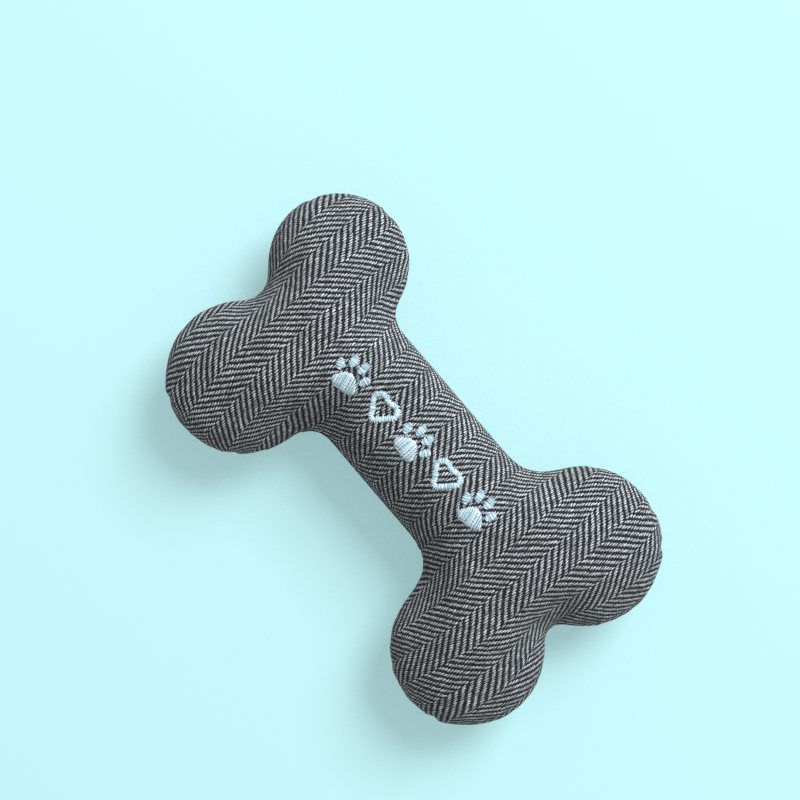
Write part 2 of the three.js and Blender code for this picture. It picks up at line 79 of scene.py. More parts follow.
def aimed(name, data, place, right, up, back):
    """A camera or lamp at its place, turned by its three axes."""
    thing = linked(name, data)
    turn = Matrix((right, up, back)).transposed()
    thing.matrix_world = Matrix.Translation(place) @ turn.to_4x4()
    return thing


def evaluated(thing):
    return thing.evaluated_get(bpy.context.evaluated_depsgraph_get())


def add_node(tree, kind, values=None, **settings):
    """A new node, with its settings, and each named input linked to a socket or set to a value."""
    node = tree.nodes.new(kind)
    for name, value in settings.items():
        setattr(node, name, value)
    for name, value in (values or {}).items():
        if isinstance(value, bpy.types.NodeSocket):
            tree.links.new(value, node.inputs[name])
        else:
            node.inputs[name].default_value = value
    return node


def sums(tree, operation, *values):
    return add_node(tree, "ShaderNodeMath", dict(enumerate(values)), operation=operation).outputs[0]


def between(tree, value, low, high, start=0, kind="LINEAR"):
    """How far a value is from the low one to the high one, counted from the start to 1."""
    sockets = {"Value": value, "From Min": low, "From Max": high, "To Min": start}
    return add_node(tree, "ShaderNodeMapRange", sockets, interpolation_type=kind).outputs[0]


def own_place(tree):
    return add_node(tree, "ShaderNodeTexCoord").outputs["Object"]


def background_ray(tree):
    """1 for the rays that see the background: the camera's, and those by way of gloss or glass."""
    ray = add_node(tree, "ShaderNodeLightPath").outputs
    seen = ray["Is Camera Ray"]
    for name in ("Is Glossy Ray", "Is Transmission Ray"):
        seen = sums(tree, "MAXIMUM", seen, ray[name])
    return seen


def shader_mix(tree, share, first, second):
    sockets = {0: share, 1: first.outputs[0], 2: second.outputs[0]}
    return add_node(tree, "ShaderNodeMixShader", sockets)


def new_material(name):
    material = bpy.data.materials.new(name)
    material.use_nodes = True
    return material, material.node_tree


camera_data = bpy.data.cameras.new("camera")
camera_data.sensor_width = film_width
camera_data.lens = film_width * view_distance / view_span
camera_data.clip_start = 10 * mm
camera_data.clip_end = 20000 * mm
above = view_centre + upward * view_distance
scene.camera = aimed("camera", camera_data, above, picture_right, picture_up, upward)

# One soft lamp stands to the picture's upper right, and a dim sky fills the shade.
key_data = bpy.data.lights.new("key", "AREA")
key_data.size = 1100 * mm
key_data.energy = 61
key_data.color = (0.93, 0.98, 1)
key_back = picture_right * key_way[0] + picture_up * key_way[1] + upward * key_way[2]
key_back.normalize()
key_side = upward.cross(key_back).normalized()
aimed("key", key_data, key_back * key_distance, key_side, key_back.cross(key_side), key_back)

sky = bpy.data.worlds.new("sky")
scene.world = sky
sky.use_nodes = True
sky_tree = sky.node_tree
sky_tree.nodes.clear()
sky_light = add_node(sky_tree, "ShaderNodeBackground", {"Color": sky_colour, "Strength": 0.38})
sky_seen = add_node(sky_tree, "ShaderNodeBackground", {"Color": pale_ground, "Strength": 1})
sky_mix = shader_mix(sky_tree, background_ray(sky_tree), sky_light, sky_seen)
add_node(sky_tree, "ShaderNodeOutputWorld", {"Surface": sky_mix.outputs[0]})

# What the camera sees of the ground is partly paint, which takes the bone's shadow, and partly
# glow, all glow far off. The light that it sends back to the bone is a neutral ground's.
ground_material, ground_tree = new_material("pale_ground")
ground_tree.nodes.clear()
ground_lit = add_node(ground_tree, "ShaderNodeBsdfDiffuse", {"Color": painted_ground})
ground_glow = add_node(ground_tree, "ShaderNodeEmission", {"Color": pale_ground, "Strength": 1})
ground_bounce = add_node(ground_tree, "ShaderNodeBsdfDiffuse", {"Color": neutral_ground})
ground_distance = add_node(
    ground_tree, "ShaderNodeVectorMath", {0: own_place(ground_tree)}, operation="LENGTH"
).outputs["Value"]
ground_share = between(ground_tree, ground_distance, lit_reach, dim_reach, near_glow, "SMOOTHSTEP")
ground_seen = shader_mix(ground_tree, ground_share, ground_lit, ground_glow)
ground_mix = shader_mix(ground_tree, background_ray(ground_tree), ground_bounce, ground_seen)
add_node(ground_tree, "ShaderNodeOutputMaterial", {"Surface": ground_mix.outputs[0]})
ground_mesh = bpy.data.meshes.new("ground")
ground_mesh.from_pydata(
    [(x * ground_reach, y * ground_reach, 0) for x, y in ((-1, -1), (1, -1), (1, 1), (-1, 1))],
    [],
    [(0, 1, 2, 3)],
)
ground_mesh.materials.append(ground_material)
ground = linked("ground", ground_mesh)


# Front and back panels
# Two bone shapes cut from woollen tweed, sewn face to face round their edge and turned, so that the
# allowance lies inside. They are cut flat here, sewn, and blown up by the pressure of the filling.

# Sizes are in millimetres from here on, and mm turns them into the frame's metres.
# Each knob has its centre along and across the bone, its radius, and the radius of its neck.
knobs = {
    "upper_left": (-66.75, 25.7, 24.7, 9.5),
    "lower_left": (-58.65, -25.6, 26.8, 10.5),
    "lower_right": (64.55, -27.1, 27.2, 16.0),
    "upper_right": (63.45, 26.3, 28.0, 17.0),
}
notches = {"left": 10.0, "right": 6.0}
shaft_half = 21.8
shaft_rise = 5.4
cut_margin = 6.0
cut_shaft_margin = 7.5
cut_notch_margin = -1.0
least_neck = 4.0
path_steps = 80
cloth_cell = 3.2
edge_clear_share = 0.6
least_rise = 1e-12
merged_reach = 1e-6
triangles_within_edges = 1


def straight(start, end):
    return np.linspace(start, end, path_steps)[:-1]


def arc(centre, radius, start, end, turn):
    first = math.atan2(start[1] - centre[1], start[0] - centre[0])
    last = math.atan2(end[1] - centre[1], end[0] - centre[0])
    sweep = turn * ((turn * (last - first) + 4 * math.pi) % (2 * math.pi))
    angle = first + sweep * np.linspace(0, 1, path_steps)[:-1]
    return np.stack([centre[0] + radius * np.cos(angle), centre[1] + radius * np.sin(angle)], 1)


def neck_arc(knob, side, end, half):
    """The centre of the arc between a knob and the shaft's side, and the arc's two ends."""
    x, y, radius, neck = knob
    edge = shaft_rise + side * half
    middle = edge + side * neck
    along = x - end * math.sqrt((radius + neck) ** 2 - (middle - y) ** 2)
    centre = np.array([along, middle])
    away = (centre - (x, y)) / np.linalg.norm(centre - (x, y))
    return centre, np.array([x, y]) + away * radius, np.array([along, edge])


def notch_arc(upper, lower, notch, end):
    """The centre of the arc between the two knobs of one end, and the arc's two ends."""
    top, bottom = np.array(upper[:2]), np.array(lower[:2])
    span = np.linalg.norm(top - bottom)
    reach = upper[2] + notch
    down = (reach**2 - (lower[2] + notch) ** 2 + span**2) / (2 * span)
    line = (bottom - top) / span
    side = np.array([-end * line[1], end * line[0]])
    centre = top + line * down + side * math.sqrt(reach**2 - down**2)
    on_top = top + (centre - top) / reach * upper[2]
    on_bottom = bottom + (centre - bottom) / (lower[2] + notch) * lower[2]
    return centre, on_top, on_bottom


def bone_outline(knobs, notches, half):
    ul, ll = knobs["upper_left"], knobs["lower_left"]
    ur, lr = knobs["upper_right"], knobs["lower_right"]
    ul_neck, ur_neck = neck_arc(ul, 1, -1, half), neck_arc(ur, 1, 1, half)
    ll_neck, lr_neck = neck_arc(ll, -1, -1, half), neck_arc(lr, -1, 1, half)
    left = notch_arc(ul, ll, notches["left"], -1)
    right = notch_arc(ur, lr, notches["right"], 1)
    return np.concatenate([
        straight(ur_neck[2], ul_neck[2]),
        arc(ul_neck[0], ul[3], ul_neck[2], ul_neck[1], -1),
        arc(ul[:2], ul[2], ul_neck[1], left[1], 1),
        arc(left[0], notches["left"], left[1], left[2], -1),
        arc(ll[:2], ll[2], left[2], ll_neck[1], 1),
        arc(ll_neck[0], ll[3], ll_neck[1], ll_neck[2], -1),
        straight(ll_neck[2], lr_neck[2]),
        arc(lr_neck[0], lr[3], lr_neck[2], lr_neck[1], -1),
        arc(lr[:2], lr[2], lr_neck[1], right[2], 1),
        arc(right[0], notches["right"], right[2], right[1], -1),
        arc(ur[:2], ur[2], right[1], ur_neck[1], 1),
        arc(ur_neck[0], ur[3], ur_neck[1], ur_neck[2], -1),
    ])


def run_along(path):
    """How far along a path each of its points lies."""
    return np.r_[0, np.cumsum(np.linalg.norm(np.diff(path, axis=0), axis=1))]


def at_runs(path, run, at):
    return np.stack([np.interp(at, run, axis) for axis in path.T], 1)


def evenly(path, count):
    """Points at even steps round a closed path."""
    closed = np.vstack([path, path[:1]])
    run = run_along(closed)
    return at_runs(closed, run, np.linspace(0, run[-1], count, endpoint=False))


def perimeter(path):
    return np.linalg.norm(path - np.roll(path, 1, 0), axis=1).sum()


def within(points, path):
    """Whether each point is in a closed path: a line to its right meets an odd number of edges."""
    x, y = points[:, 0:1], points[:, 1:2]
    ends = np.roll(path, -1, 0)
    crosses = (path[:, 1] > y) != (ends[:, 1] > y)
    rise = ends[:, 1] - path[:, 1]
    meet = (ends[:, 0] - path[:, 0]) * (y - path[:, 1]) / (rise + least_rise) + path[:, 0]
    return (crosses & (x < meet)).sum(1) % 2 == 1


def distances(points, others):
    return np.linalg.norm(points[:, None] - others[None], axis=2)


def inward(path):
    """Unit vectors that point in from a closed path that runs anticlockwise."""
    along = np.roll(path, -1, 0) - np.roll(path, 1, 0)
    along = along + np.roll(along, 1, 0) + np.roll(along, -1, 0)
    along /= np.linalg.norm(along, axis=1, keepdims=True)
    return np.stack([-along[:, 1], along[:, 0]], 1)


sewn_outline = bone_outline(knobs, notches, shaft_half)
cut_knobs = {
    name: (x, y, radius + cut_margin, max(neck - cut_margin, least_neck))
    for name, (x, y, radius, neck) in knobs.items()
}
cut_notches = {end: radius + cut_notch_margin for end, radius in notches.items()}
cut_outline = bone_outline(cut_knobs, cut_notches, shaft_half + cut_shaft_margin)
edge_count = round(perimeter(cut_outline) / cloth_cell)
cut_edge = evenly(cut_outline, edge_count)

# The flat panel is filled with rows of points, and they are joined into triangles.
low, high = cut_edge.min(0), cut_edge.max(0)
line_gap = cloth_cell * math.sqrt(3) / 2
inner_points = np.array([
    (low[0] + cloth_cell * (column + line % 2 / 2), low[1] + line_gap * line)
    for line in range(int((high[1] - low[1]) / line_gap) + 1)
    for column in range(int((high[0] - low[0]) / cloth_cell) + 1)
])
inner_points = inner_points[within(inner_points, cut_edge)]
edge_clear = edge_clear_share * cloth_cell
inner_points = inner_points[distances(inner_points, cut_edge).min(1) > edge_clear]
drawn = [Vector(point) for point in np.vstack([cut_edge, inner_points])]
edge_pairs = [(i, (i + 1) % edge_count) for i in range(edge_count)]
triangulated = delaunay_2d_cdt(drawn, edge_pairs, [], triangles_within_edges, merged_reach)
cut_points = np.array([tuple(point) for point in triangulated[0]])
cut_faces = np.array([tuple(face) for face in triangulated[2]])
a, b, c = (cut_points[cut_faces[:, k]] for k in range(3))
turned_down = (b[:, 0] - a[:, 0]) * (c[:, 1] - a[:, 1]) < (b[:, 1] - a[:, 1]) * (c[:, 0] - a[:, 0])
cut_faces[turned_down] = cut_faces[turned_down][:, ::-1]

# Both panels start a little apart inside their common edge, and the pressure does the rest. The
# cloth is worked out at ten times its size, because the solver is steadier there.
start_depth = 20
start_rise = 6
sim_scale = 0.01
point_count = len(cut_points)
inner_count = point_count - edge_count
back_index = np.arange(point_count)
back_index[edge_count:] += inner_count
depth_in = np.clip(distances(cut_points, cut_edge).min(1), 0, start_depth)
first_rise = start_rise * np.sqrt(depth_in / start_depth)
flat_shape = np.vstack([
    np.c_[cut_points, np.zeros(point_count)],
    np.c_[cut_points[edge_count:], np.zeros(inner_count)],
])
start_shape = flat_shape.copy()
start_shape[:, 2] = np.r_[first_rise, -first_rise[edge_count:]]

sewn_mesh = bpy.data.meshes.new("sewn_cloth")
sewn_mesh.from_pydata(
    (start_shape * sim_scale).tolist(),
    [],
    np.vstack([cut_faces, back_index[cut_faces[:, ::-1]]]).tolist(),
)
sewn_cloth = linked("sewn_cloth", sewn_mesh)
sewn_cloth.shape_key_add(name="sewn")
flat_key = sewn_cloth.shape_key_add(name="cut")
flat_key.data.foreach_set("co", (flat_shape * sim_scale).ravel())
woollen_cloth = {
    "quality": 8,
    "mass": 0.3,
    "tension_stiffness": 5,
    "compression_stiffness": 5,
    "shear_stiffness": 5,
    "bending_stiffness": 0.5,
    "tension_damping": 3,
    "compression_damping": 3,
    "shear_damping": 5,
    "bending_damping": 0.5,
    "air_damping": 2,
    "use_pressure": True,
    "uniform_pressure_force": 30,
}
stuffing_frames = 60
stuffing = sewn_cloth.modifiers.new("stuffing", "CLOTH")
for name, value in woollen_cloth.items():
    setattr(stuffing.settings, name, value)
stuffing.settings.rest_shape_key = sewn_cloth.data.shape_keys.key_blocks["cut"]
stuffing.settings.effector_weights.gravity = 0
stuffing.collision_settings.use_collision = False
stuffing.collision_settings.use_self_collision = False
stuffing.point_cache.frame_end = stuffing_frames
scene.frame_end = stuffing_frames
for number in range(1, stuffing_frames + 1):
    scene.frame_set(number)
stuffed = evaluated(sewn_cloth)
shape = np.empty(len(start_shape) * 3)
stuffed.data.vertices.foreach_get("co", shape)
shape = shape.reshape(-1, 3) / sim_scale
bpy.data.objects.remove(sewn_cloth)
scene.frame_set(1)

# The seam is eased onto the finished bone's outline, and the cloth inside it follows.
evened_reach = 5
evened_width = 2
evened_share = 0.25
pull_core = 1
ends = np.roll(sewn_outline, -1, 0)
seam = shape[:edge_count, :2]
span = ends - sewn_outline
share = ((seam[:, None] - sewn_outline) * span).sum(2) / (span**2).sum(1)
on_outline = sewn_outline + span * np.clip(share, 0, 1)[:, :, None]
nearest = np.linalg.norm(on_outline - seam[:, None], axis=2).argmin(1)
shift = on_outline[np.arange(edge_count), nearest] - seam
steps_away = np.arange(-evened_reach, evened_reach + 1)
weights = np.exp(-0.5 * (steps_away / evened_width) ** 2)
weights /= weights.sum()
even_shift = sum(weight * np.roll(shift, step, 0) for weight, step in zip(weights, steps_away))
shift = (1 - evened_share) * shift + evened_share * even_shift
pull = 1 / (distances(flat_shape[:, :2], cut_edge) ** 2 + pull_core) ** 2
shape[:, :2] += pull @ shift / pull.sum(1, keepdims=True)


def eased(depth, free, most):
    """Leaves a depth as it is up to the free one, and lets it near the most, but never pass it."""
    past = np.maximum(depth - free, 0)
    return np.minimum(depth, free) + (most - free) * np.tanh(past / (most - free))


# The filling stops short of a full round, pushes up soft lumps, and lets the back press flat on
# the ground where it rests.
free_height = 17
most_height = 22.5
lump_width = 15
lump_rise = 1.6
lump_depth = 8
rest_softness = 0.5
depth_of_each = np.r_[depth_in, depth_in[edge_count:]]
lumps = np.array([soft_noise.noise(Vector(point) / lump_width) for point in shape])
lumps *= lump_rise * np.minimum(depth_of_each / lump_depth, 1)
height = eased(np.abs(shape[:, 2]), free_height, most_height) + lumps
resting = seam_height / mm
pressed = resting - rest_softness * np.log1p(np.exp((resting - height) / rest_softness))
shape[:, 2] = np.where(shape[:, 2] > 0, height, -pressed) + resting

# The cloth is a broken two by two twill of pale warp and dark weft. It turns back every fourteen
# ends, which gives the herringbone's columns. Its pattern follows the flat cloth's own map.
warp_pitch = 0.664 * mm
weft_pitch = 0.72 * mm
weft_slant = 0.106
ends_to_a_column = 14
column_start = 0.35 * mm
weave_repeat = 4
warp_yarn = {"crest": 1, "fullness": 0.6, "lift": 0.7, "body": 0.62}
weft_yarn = {"crest": 3, "fullness": 0.95, "lift": 0.62, "body": 0.7}
yarn_drift = 1.2
cloth_waves = ((55, 1.6 * mm), (420, 0.6 * mm))
yarn_hairs = ((1500, 0.35 * mm), (6000, 0.2 * mm))
slub_step = 3.7
slub_scale = 620
fibre_lean = 0.4
fibre_width_scale = 7000
fibre_length_scale = 1300
fibre_relief = 0.18
light_wool = (0.19, 0.205, 0.212, 1)
bright_wool = (0.77, 0.81, 0.825, 1)
dark_wool = (0.006, 0.007, 0.008, 1)
soft_dark_wool = (0.05, 0.056, 0.066, 1)


def vector_sums(tree, operation, *values):
    sockets = dict(enumerate(values))
    return add_node(tree, "ShaderNodeVectorMath", sockets, operation=operation).outputs[0]


def blended(tree, factor, first, second, kind="MIX"):
    sockets = {0: factor, 6: first, 7: second}
    return add_node(tree, "ShaderNodeMix", sockets, data_type="RGBA", blend_type=kind).outputs[2]


def noise(tree, vector, scale, detail=2.0, roughness=0.5):
    sockets = {"Vector": vector, "Scale": scale, "Detail": detail, "Roughness": roughness}
    return add_node(tree, "ShaderNodeTexNoise", sockets)


def wandered(tree, vector, scale, reach):
    """A place moved sideways by a soft noise, as yarns wander in a cloth."""
    wave = noise(tree, vector, scale, detail=1.0).outputs["Color"]
    centred = vector_sums(tree, "SUBTRACT", wave, (0.5, 0.5, 0.5))
    shifted = vector_sums(tree, "MULTIPLY", centred, (reach, reach, 0))
    return vector_sums(tree, "ADD", vector, shifted)


def split(tree, vector):
    return add_node(tree, "ShaderNodeSeparateXYZ", {"Vector": vector}).outputs


def joined(tree, *values):
    return add_node(tree, "ShaderNodeCombineXYZ", dict(enumerate(values))).outputs[0]


def slubs(tree, number, run):
    """The thick and thin places along each yarn."""
    beside = sums(tree, "MULTIPLY", number, slub_step)
    place = joined(tree, beside, sums(tree, "MULTIPLY", run, slub_scale))
    return noise(tree, place, scale=1.0).outputs[0]


def fibres(tree, beside, run):
    """The fine fibres of a yarn, which lean across it with its twist."""
    slanting = sums(tree, "ADD", beside, sums(tree, "MULTIPLY", run, fibre_lean))
    over = sums(tree, "MULTIPLY", slanting, fibre_width_scale)
    place = joined(tree, over, sums(tree, "MULTIPLY", run, fibre_length_scale))
    return noise(tree, place, scale=1.0, detail=3.0).outputs[0]


def yarn_top(tree, run, other_run, step, crest, fullness, lift, body):
    """Height of a yarn's surface: its wave over and under the other yarns, and its round top."""
    phase = sums(tree, "SUBTRACT", sums(tree, "ADD", other_run, step), crest)
    wave = sums(tree, "COSINE", sums(tree, "MULTIPLY", phase, 2 * math.pi / weave_repeat))
    off_centre = sums(tree, "SUBTRACT", sums(tree, "FRACT", run), 0.5)
    off_centre = sums(tree, "MULTIPLY", off_centre, 2 / fullness)
    section = sums(tree, "SUBTRACT", 1, sums(tree, "MULTIPLY", off_centre, off_centre))
    raised = sums(tree, "MULTIPLY", wave, lift)
    return sums(tree, "ADD", raised, sums(tree, "MULTIPLY", section, body))


def finish(tree, colour, relief, strength, depth, sockets):
    """Links the shader's colour and relief, and sets its own sockets."""
    shader = tree.nodes["Principled BSDF"]
    tree.links.new(colour, shader.inputs["Base Color"])
    raised = {"Height": relief, "Strength": strength, "Distance": depth}
    bump = add_node(tree, "ShaderNodeBump", raised)
    tree.links.new(bump.outputs[0], shader.inputs["Normal"])
    for name, value in sockets.items():
        shader.inputs[name].default_value = value


tweed, weave = new_material("herringbone_tweed")
uneven = add_node(weave, "ShaderNodeUVMap", uv_map="weave").outputs["UV"]
for scale, reach in cloth_waves:
    uneven = wandered(weave, uneven, scale, reach)
hairy = uneven
for scale, reach in yarn_hairs:
    hairy = wandered(weave, hairy, scale, reach)
across, along, _ = split(weave, hairy)
warp_run = sums(weave, "DIVIDE", sums(weave, "ADD", across, column_start), warp_pitch)
level_along = sums(weave, "SUBTRACT", along, sums(weave, "MULTIPLY", across, weft_slant))
weft_run = sums(weave, "DIVIDE", level_along, weft_pitch)
in_columns = sums(weave, "FLOORED_MODULO", warp_run, 2 * ends_to_a_column)
turned_back = sums(weave, "GREATER_THAN", in_columns, ends_to_a_column)
from_turn = sums(weave, "ABSOLUTE", sums(weave, "SUBTRACT", in_columns, ends_to_a_column))
step_along = sums(weave, "SUBTRACT", ends_to_a_column, from_turn)
cut_over = sums(weave, "MULTIPLY", turned_back, 2)
warp_step = sums(weave, "ADD", sums(weave, "FLOOR", step_along), cut_over)
weft_step = sums(weave, "ADD", step_along, cut_over)
warp_slub = slubs(weave, sums(weave, "FLOOR", warp_run), along)
weft_slub = slubs(weave, sums(weave, "FLOOR", weft_run), across)
warp_drift = sums(weave, "MULTIPLY", sums(weave, "SUBTRACT", warp_slub, 0.5), yarn_drift)
warp_place = sums(weave, "ADD", warp_run, warp_drift)
warp_top = yarn_top(weave, warp_place, weft_run, warp_step, **warp_yarn)
weft_top = yarn_top(weave, weft_run, sums(weave, "FLOOR", weft_run), weft_step, **weft_yarn)
yarn_height = sums(weave, "MAXIMUM", warp_top, weft_top)
warp_up = sums(weave, "GREATER_THAN", warp_top, weft_top)

fine_across, fine_along, _ = split(weave, uneven)
warp_fibre = fibres(weave, fine_across, fine_along)
weft_fibre = fibres(weave, fine_along, fine_across)
float_start = weave_repeat / 2 - warp_yarn["crest"]
float_run = sums(weave, "ADD", sums(weave, "ADD", weft_run, warp_step), float_start)
float_number = sums(weave, "FLOOR", sums(weave, "DIVIDE", float_run, weave_repeat))
float_place = joined(weave, sums(weave, "FLOOR", warp_place), float_number)
float_tone = add_node(
    weave, "ShaderNodeTexWhiteNoise", {"Vector": float_place}, noise_dimensions="2D"
).outputs["Value"]
warp_shade = sums(weave, "ADD", sums(weave, "ADD", warp_slub, warp_fibre), float_tone)
warp_tone = between(weave, warp_shade, low=0.6, high=2.1)
weft_tone = between(weave, sums(weave, "ADD", weft_slub, weft_fibre), low=0.8, high=1.35)
warp_colour = blended(weave, warp_tone, light_wool, bright_wool)
weft_colour = blended(weave, weft_tone, dark_wool, soft_dark_wool)
yarn_colour = blended(weave, warp_up, weft_colour, warp_colour)
# Where the yarns dip, their colour is darkened: painted shade in the hollows between them, over the
# weave's own pale and dark yarns.
hollow = between(weave, yarn_height, low=-0.3, high=0.95)
yarn_colour_with_painted_shade = blended(weave, 1.0, yarn_colour, joined(weave, hollow, hollow, hollow), "MULTIPLY")
fibre_height = sums(weave, "MULTIPLY", sums(weave, "ADD", warp_fibre, weft_fibre), fibre_relief)
finish(
    weave,
    yarn_colour_with_painted_shade,
    sums(weave, "ADD", yarn_height, fibre_height),
    strength=0.9,
    depth=0.2 * mm,
    sockets={
        "Roughness": 0.92,
        "Specular IOR Level": 0.2,
        "Sheen Weight": 0.05,
        "Sheen Roughness": 0.45,
        "Sheen Tint": (0.8, 0.82, 0.85, 1),
    },
)

# Each panel rolls over at the seam and goes in as the allowance, with the cloth thinner there.
cloth_thickness = 1.0
allowance = 6.5
fold_height = 0.7
fold_depth = 1.0
roll_out = 0.25
allowance_gap = 0.08
edge_share = 0.5
allowance_share = 0.4
back_cloth_shift = (37.3, 11.7)


def mesh_of(name, points, faces, material):
    mesh = bpy.data.meshes.new(name)
    mesh.from_pydata(points.tolist(), [], faces)
    mesh.materials.append(material)
    mesh.polygons.foreach_set("use_smooth", [True] * len(mesh.polygons))
    return linked(name, mesh)


seam_inward = inward(shape[:edge_count, :2])
cut_outward = -inward(cut_edge)


def panel(name, skin, faces, side, cloth_map):
    crest = skin[:edge_count].copy()
    crest[:, :2] -= seam_inward * roll_out
    crest[:, 2] += side * fold_height
    fold = skin[:edge_count].copy()
    fold[:, :2] += seam_inward * fold_depth
    fold[:, 2] += side * allowance_gap
    turned = skin[:edge_count].copy()
    turned[:, :2] += seam_inward * allowance
    turned[:, 2] = resting + side * allowance_gap
    points = np.vstack([crest, skin[edge_count:], fold, turned]) * mm
    flat = np.vstack([
        cut_points,
        cut_edge + cut_outward * (fold_depth + fold_height),
        cut_edge + cut_outward * (allowance + fold_height),
    ])
    all_faces = [tuple(face) for face in faces]
    for i in range(edge_count):
        k = (i + 1) % edge_count
        for near, far in ((0, point_count), (point_count, point_count + edge_count)):
            strip = (near + k, near + i, far + i, far + k)
            all_faces.append(strip if side > 0 else strip[::-1])
    made = mesh_of("tweed_" + name, points, all_faces, tweed)
    layer = made.data.uv_layers.new(name="weave")
    corners = np.array([loop.vertex_index for loop in made.data.loops])
    layer.data.foreach_set("uv", (cloth_map(flat)[corners] * mm).ravel())
    thick = made.vertex_groups.new(name="thickness")
    thick.add(list(range(edge_count, point_count)), 1.0, "REPLACE")
    thick.add(list(range(edge_count)), edge_share, "REPLACE")
    thick.add(list(range(point_count, point_count + 2 * edge_count)), allowance_share, "REPLACE")
    wall = made.modifiers.new("wall", "SOLIDIFY")
    wall.thickness = cloth_thickness * mm
    wall.offset = -1
    wall.vertex_group = "thickness"
    smooth = made.modifiers.new("smooth", "SUBSURF")
    smooth.levels = smooth.render_levels = 1
    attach(made, "root")
    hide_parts(name)
    return made


front_panel = panel("front_panel", shape[:point_count], cut_faces, 1, lambda flat: flat)
back_panel = panel(
    "back_panel",
    shape[back_index],
    cut_faces[:, ::-1],
    -1,
    lambda flat: flat * (-1, 1) + back_cloth_shift,
)


# Embroidery backing
# A strip of non-woven fibre sheet, laid under the front panel before it is embroidered. The
# stitches hold it, and it keeps the cloth from drawing in under them.
row_centre = np.array([-2.65, 5.0])
row_tilt = math.radians(2.5)
motif_spacing = 15.6
motif_half = 7.2
backing_margin = 3.5
backing_thickness = 0.35
backing_cell = 1.2
backing_gap = 0.25
slope_factor = 1.42
snip_scatter = 0.12
snip_seed = 5
edge_tolerance = 0.01
well_clear = 100 * mm
pale_felt = (0.88, 0.87, 0.84, 1)
deep_felt = (0.66, 0.65, 0.61, 1)


def skin_tree(thing):
    """A panel's finished cloth, ready for rays that look for its height."""
    solid = evaluated(thing).to_mesh()
    points = [vertex.co.copy() for vertex in solid.vertices]
    return BVHTree.FromPolygons(points, [tuple(face.vertices) for face in solid.polygons])


def leant(points, angle):
    turn = np.array([[math.cos(angle), math.sin(angle)], [-math.sin(angle), math.cos(angle)]])
    return np.asarray(points) @ turn


def on_row(points, along=0.0):
    """Points of one motif, put at its place along the slightly tilted row."""
    return leant(np.asarray(points) + (along, 0), row_tilt) + row_centre


def front_height(x, y):
    return front_skin.ray_cast(Vector((x * mm, y * mm, well_clear)), -upward)[0].z / mm


felt, felt_tree = new_material("backing_felt")
felt_place = wandered(felt_tree, own_place(felt_tree), scale=700, reach=3 * mm)
felt_strands = noise(felt_tree, felt_place, scale=2600, detail=4.0, roughness=0.65).outputs[0]
felt_tone = between(felt_tree, felt_strands, low=0.35, high=0.65)
finish(
    felt_tree,
    blended(felt_tree, felt_tone, deep_felt, pale_felt),
    felt_strands,
    strength=0.6,
    depth=0.1 * mm,
    sockets={"Roughness": 0.95, "Sheen Weight": 0.2},
)

front_skin = skin_tree(front_panel)
backing_half = np.array([2 * motif_spacing, 0]) + motif_half + backing_margin
backing_cells = np.round(2 * backing_half / backing_cell).astype(int)
backing_grid = np.array([
    backing_half * (2 * np.array([i, k]) / backing_cells - 1)
    for i in range(backing_cells[0] + 1)
    for k in range(backing_cells[1] + 1)
])
snipped = np.random.default_rng(snip_seed).normal(0, snip_scatter, backing_grid.shape)
on_edge = np.abs(np.abs(backing_grid) - backing_half) < edge_tolerance
backing_grid[on_edge] += snipped[on_edge]
backing_points = np.array([
    (x, y, front_height(x, y) - slope_factor * cloth_thickness - backing_gap)
    for x, y in on_row(backing_grid)
])
row_count = backing_cells[1] + 1
backing_faces = [
    (i * row_count + k, (i + 1) * row_count + k, (i + 1) * row_count + k + 1, i * row_count + k + 1)
    for i in range(backing_cells[0])
    for k in range(backing_cells[1])
]
backing = mesh_of("felt_backing", backing_points * mm, backing_faces, felt)
backing_wall = backing.modifiers.new("wall", "SOLIDIFY")
backing_wall.thickness = backing_thickness * mm
backing_wall.offset = -1
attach(backing, "root")
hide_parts("embroidery_backing")


# Embroidered motifs
# Machine satin stitch in two-ply rayon, 0.46 mm from stitch to stitch, over a few underlay
# stitches that run the other way. Both layers go through the tweed and the backing.
stitch_pitch = 0.46
end_scatter = 0.09
underlay_pitch = 1.0
underlay_inset = 0.45
underlay_rise_share = 0.45
rayon_radius = 0.21
rayon_sink = 0.3
rayon_turns = 1100
rayon_painted_ply_shade = 0.08
thread_plies = 2
thread_sides = 6
thread_steps = 10
strand_seed = 11
outline_steps = 72
paw_tilt = math.radians(9)
pad_half = (4.5, 3.5)
pad_drop = 3.0
pad_trefoil = 0.13
pad_lean = math.radians(8)
pad_rise = 0.7
toe_rise = 0.5
pale_rayon = (0.78, 0.93, 0.97, 1)
deep_rayon = (0.42, 0.62, 0.74, 1)

# Each toe has its place across and up from the paw's middle, its half width and height, and its
# lean in degrees.
toes = (
    (-5.2, 1.3, 1.45, 2.1, 24),
    (-2.05, 4.6, 1.5, 2.3, 7),
    (2.05, 4.6, 1.5, 2.3, -7),
    (5.2, 1.3, 1.45, 2.1, -24),
)

# A heart is four arcs: two lobes, the hollow between them and the tip, joined by straight sides.
heart_lobe = (2.5, 1.5, 2.6)
heart_hollow = 1.15
heart_tip = (3.6, 1.15)
heart_arc_steps = 40
heart_rise = 0.45
heart_under_rise = 0.2
satin_width = 1.95
rail_places = (-0.45, 0, 0.45)
steps_a_stitch = 4
rail_stitch_steps = 12
rail_stitch_pitch = 9


def kept_value(tree, name):
    return add_node(tree, "ShaderNodeAttribute", attribute_name=name).outputs["Fac"]


def twisted(tree, turns, plies):
    """The plies' ridges on a twisted thread, from its run and its way round."""
    along = sums(tree, "MULTIPLY", kept_value(tree, "run"), turns)
    beside = sums(tree, "MULTIPLY", kept_value(tree, "round"), plies)
    turn = sums(tree, "ADD", along, beside)
    return sums(tree, "SINE", sums(tree, "MULTIPLY", turn, 2 * math.pi))


